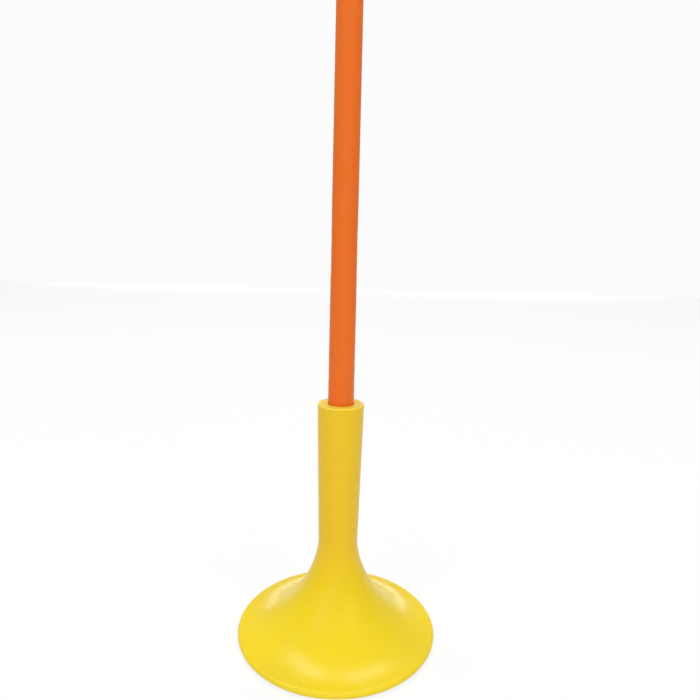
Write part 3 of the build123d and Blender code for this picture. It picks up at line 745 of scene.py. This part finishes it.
def cut_out(settled, name, rows, columns=None, lift=0.0):
    """A copy of the cloth between two rows, and two columns if given, lifted off the surface."""
    bm = bmesh.new()
    bm.from_mesh(settled)
    bm.normal_update()
    row_layer, column_layer = bm.verts.layers.int["row"], bm.verts.layers.int["column"]
    for vert in bm.verts:
        vert.co += vert.normal * lift
    doomed = []
    for face in bm.faces:
        face_rows = [v[row_layer] for v in face.verts]
        face_columns = [v[column_layer] for v in face.verts]
        inside = rows[0] <= min(face_rows) and max(face_rows) <= rows[1]
        if columns:
            inside = inside and columns[0] <= min(face_columns) and max(face_columns) <= columns[1]
        if not inside:
            doomed.append(face)
    bmesh.ops.delete(bm, geom=doomed, context="FACES")
    return mesh_from(bm, name)


def walled(obj, thickness, levels=1):
    """Rounds a cloth piece and gives it a wall, half to each side."""
    if levels:
        rounder = obj.modifiers.new("rounder", "SUBSURF")
        rounder.levels = rounder.render_levels = levels
    wall = obj.modifiers.new("wall", "SOLIDIFY")
    wall.thickness = thickness
    wall.offset = 0.0
    return obj


def bands(finishes, settled):
    """The five cloths, each cut from the settled tube."""
    made = []
    for index in range(BANDS):
        first = 0 if index == 0 else FIRST_ROW + index * BAND_ROWS
        last = FIRST_ROW + (index + 1) * BAND_ROWS + (1 if index == BANDS - 1 else 0)
        finish = "white_cloth" if index % 2 else "orange_cloth"
        mesh = cut_out(settled, f"cloth_band_{index + 1}", (first, last))
        obj = piece(f"cloth_band_{index + 1}", mesh, finishes[finish], [f"sock_band_{index + 1}"])
        made.append(walled(obj, CLOTH_THICK))
    return made


SEAM_LIFT = 0.00045  # of a seam's folds from the cloth's middle
SEAM_THICK = 0.0005
TAIL_HEM_THICK = 0.0019


def seams(finishes, settled):
    """Felled strips over the joins between the bands, the side seam and the tail's hem."""
    bm = bmesh.new()
    for index in range(1, BANDS):
        row = FIRST_ROW + index * BAND_ROWS
        bm.from_mesh(cut_out(settled, "strip", (row - 1, row + 1), lift=SEAM_LIFT))
    rings = piece("band_seams", mesh_from(bm, "band_seams"), finishes["seam_tape"])
    side = cut_out(settled, "side_seam_tape", (FIRST_ROW, LAST_ROW),
                   (SEAM_COLUMN, SEAM_COLUMN + SEAM_COLUMNS), lift=2 * SEAM_LIFT)
    side = piece("side_seam_tape", side, finishes["seam_tape"], ["side_seam"])
    tail = cut_out(settled, "tail_hem_tape", (LAST_ROW, LAST_ROW + 2))
    tail = piece("tail_hem_tape", tail, finishes["orange_cloth"], ["tail_hem"])
    return walled(rings, SEAM_THICK), walled(side, SEAM_THICK), walled(tail, TAIL_HEM_THICK)


HEM_STEPS = 240
HEM_THICK = 0.0006
HEM_OUTSET = 0.0007  # middle of the tape from the cloth's middle
LOWER_STITCH_Z = BAND_TOP + 0.0024
UPPER_STITCH_Z = HOOP_Z - 0.0042
ROLL_RADIUS = 0.0019  # of the tape round the hoop
ROLL_ANGLES = range(-50, 231, 14)
EYE_HALF_HEIGHT = 0.0031
EYE_HALF_WIDTH = HOOP_RADIUS * tau / HEM_STEPS * 2.2 - 0.0005  # two faces to each side of its middle
EYE_FLAT = 0.007  # the tape is pressed flat this far to each side of an eyelet's middle
# heights of the rings of faces on each side of the tape, below its roll
HEM_LEVELS = (BAND_TOP, BAND_TOP + 0.0012, LOWER_STITCH_Z, BAND_TOP + 0.004, GROMMET_Z - EYE_HALF_HEIGHT,
              GROMMET_Z, GROMMET_Z + EYE_HALF_HEIGHT, UPPER_STITCH_Z)
HEM_RIPPLE = 0.00022
RIPPLE_SCALE = (15, 45)  # round the mouth, and up and down
RIPPLE_TOP = HOOP_Z - 0.001
RIPPLE_FADE = 0.004  # drop over which the ripple grows to its full depth


def mouth_hem(finishes):
    """Tape folded over the hoop and down both sides of the cloth, open where the eyelets go."""
    outline = [(HEM_OUTSET, z) for z in HEM_LEVELS]
    outline += [(ROLL_RADIUS * cos(radians(a)), HOOP_Z + ROLL_RADIUS * sin(radians(a)))
                for a in ROLL_ANGLES]
    outline += [(-HEM_OUTSET, z) for z in reversed(HEM_LEVELS)]
    bm = bmesh.new()
    verts = [bm.verts.new((SOCK_X + HOOP_RADIUS + r, 0, z)) for r, z in outline]
    edges = [bm.edges.new(pair) for pair in zip(verts, verts[1:])]
    bmesh.ops.spin(bm, geom=verts + edges, cent=(SOCK_X, 0, 0), axis=(0, 0, 1), angle=tau, steps=HEM_STEPS,
                   use_merge=True)
    cut = bm.loops.layers.uv.new("cut")
    eyes = []
    for face in bm.faces:
        middle = face.calc_center_median() - Vector((SOCK_X, 0, GROMMET_Z))
        facing = atan2(middle.y, middle.x)
        for loop in face.loops:
            co = loop.vert.co
            angle = atan2(co.y, co.x - SOCK_X)
            angle += tau if facing - angle > pi else (-tau if angle - facing > pi else 0)
            loop[cut].uv = (angle * HOOP_RADIUS, co.z)
        if abs(middle.z) < EYE_HALF_HEIGHT and min(abs(middle.x), abs(middle.y)) < EYE_HALF_WIDTH:
            eyes.append(face)
    bmesh.ops.delete(bm, geom=eyes, context="FACES")
    for vert in bm.verts:
        outward = Vector((vert.co.x - SOCK_X, vert.co.y, 0))
        if min(abs(outward.x), abs(outward.y)) < EYE_FLAT:
            continue
        slack = min(1.0, max(0.0, (RIPPLE_TOP - vert.co.z) / RIPPLE_FADE))
        around = outward * (RIPPLE_SCALE[0] / HOOP_RADIUS)
        ripple = noise.noise(around + Vector((0, 0, RIPPLE_SCALE[1] * vert.co.z)))
        vert.co += outward.normalized() * (HEM_RIPPLE * slack * ripple)
    bmesh.ops.recalc_face_normals(bm, faces=bm.faces)
    tape = piece("mouth_hem_tape", mesh_from(bm, "mouth_hem_tape"), finishes["orange_cloth"],
                 ["mouth_hem"])
    return walled(tape, HEM_THICK, levels=0)


# ---- Stitches -----------------------------------------------------------------------------------
STITCH_PITCH = 0.0031
STITCH = (0.0012, 0.00027, 0.00020)  # half length, half width, half height
HEM_THREAD_LIFT = 0.0001
TAIL_THREAD_LIFT = 0.00095
MOUTH_STEPS = 180
FROM_JOIN = 0.62  # share of a row from a join to its stitches
SIDE_SHARES = (0.3, 0.7)  # the side seam's two rows of stitches, across its width


def sew(bm, line, lift):
    """Stitches along a line of (point, outward normal) pairs."""
    spare = STITCH_PITCH / 2
    for (start, normal), (end, _) in zip(line, line[1:]):
        run = (end - start).length
        while run > 0 and spare <= run:
            along = (end - start).normalized()
            across = normal.cross(along).normalized()
            up = along.cross(across)
            spot = start.lerp(end, spare / run) + up * lift
            turned = Matrix((along, across, up)).transposed().to_4x4()
            shape = Matrix.Translation(spot) @ turned @ Matrix.Diagonal((*STITCH, 1))
            bmesh.ops.create_icosphere(bm, subdivisions=1, radius=1.0, matrix=shape)
            spare += STITCH_PITCH
        spare -= run


def stitching(finishes, settled):
    """Every row of stitches on the sock: the hems, the bands' seams and the side seam."""
    rows, columns = settled.attributes["row"].data, settled.attributes["column"].data
    grid = {(rows[v.index].value, columns[v.index].value): (v.co.copy(), v.normal.copy())
            for v in settled.vertices}

    def ring(row, toward, share):
        pairs = [(grid[row, c % SEGMENTS], grid[toward, c % SEGMENTS]) for c in range(SEGMENTS + 1)]
        return [(a[0].lerp(b[0], share), a[1]) for a, b in pairs]

    def mouth_ring(radius, z, facing):
        turns = [tau * t / MOUTH_STEPS for t in range(MOUTH_STEPS + 1)]
        spots = [Vector((cos(a), sin(a), 0)) for a in turns]
        return [(Vector((SOCK_X, 0, z)) + radius * s, facing * s) for s in spots]

    bm = bmesh.new()
    for z in (LOWER_STITCH_Z, UPPER_STITCH_Z):
        for facing in (1, -1):
            radius = HOOP_RADIUS + facing * (HEM_OUTSET + HEM_THICK / 2)
            sew(bm, mouth_ring(radius, z, facing), HEM_THREAD_LIFT)
    for index in range(1, BANDS):
        row = FIRST_ROW + index * BAND_ROWS
        for toward in (row - 1, row + 1):
            sew(bm, ring(row, toward, FROM_JOIN), SEAM_LIFT + SEAM_THICK / 2)
    sew(bm, ring(LAST_ROW, LAST_ROW + 1, 0.5), TAIL_THREAD_LIFT)
    for share in SIDE_SHARES:
        column, part = divmod(share * SEAM_COLUMNS, 1)
        column = SEAM_COLUMN + int(column)
        line = [(grid[r, column][0].lerp(grid[r, column + 1][0], part), grid[r, column][1])
                for r in range(FIRST_ROW + 1, LAST_ROW)]
        sew(bm, line, 2 * SEAM_LIFT + SEAM_THICK / 2)
    return piece("sock_stitches", mesh_from(bm, "sock_stitches"), finishes["thread"])


def sock(finishes):
    """The whole sock's cloth: its bands, the seams' tapes, the mouth's hem and the stitches."""
    settled = held_back(hang(sewn_tube()))
    cloths = bands(finishes, settled)
    rings, side, tail = seams(finishes, settled)
    hem = mouth_hem(finishes)
    thread = stitching(finishes, settled)


# ---- Surroundings -------------------------------------------------------------------------------
def camera_sees(tree, shade, seen, kind):
    """Mixes what lights the object with what only the camera sees, into the output node."""
    ray = add(tree, "LightPath")
    mix = add(tree, "MixShader", {0: out(ray, "Is Camera Ray"), 1: shade, 2: seen})
    add(tree, kind, {"Surface": out(mix)})


def surroundings():
    world = bpy.data.worlds.new("studio")
    bpy.context.scene.world = world
    world.use_nodes = True
    tree = world.node_tree
    tree.nodes.clear()
    lit = add(tree, "Background", {"Color": (1, 1, 1, 1), "Strength": WORLD_LIGHT})
    seen = add(tree, "Background", {"Color": (1, 1, 1, 1), "Strength": WORLD_SEEN})
    camera_sees(tree, out(lit), out(seen), "OutputWorld")

    bm = bmesh.new()
    bmesh.ops.create_grid(bm, x_segments=1, y_segments=1, size=FLOOR_SIZE / 2)
    floor = bpy.data.objects.new("studio_floor", mesh_from(bm, "studio_floor"))
    bpy.context.scene.collection.objects.link(floor)
    material = bpy.data.materials.new("studio_floor")
    material.use_nodes = True
    tree = material.node_tree
    tree.nodes.clear()
    paper = add(tree, "BsdfDiffuse", {"Color": solid([FLOOR_GREY] * 3)})
    shown = add(tree, "BsdfDiffuse", {"Color": solid([FLOOR_SEEN_GREY] * 3)})
    glow = add(tree, "Emission", {"Color": (1, 1, 1, 1), "Strength": FLOOR_GLOW})
    both = add(tree, "AddShader", {0: out(shown), 1: out(glow)})
    camera_sees(tree, out(paper), out(both), "OutputMaterial")
    floor.data.materials.append(material)
    for name, facts in SOFTBOXES.items():
        softbox(name, *facts)


def dress_nodes(finishes):
    """Gives every CAD part that stays its slot's finish."""
    for part in frame["record"]["subparts"]:
        mesh = frame["nodes"][part["node"]].data
        mesh.materials.clear()
        mesh.materials.append(finishes[part["material_slot"]])


camera()
finishes = all_finishes()
lines = bridle_lines(finishes)
bridle_knot(finishes)
stopper_knots(finishes)
sock(finishes)
dress_nodes(finishes)
surroundings()
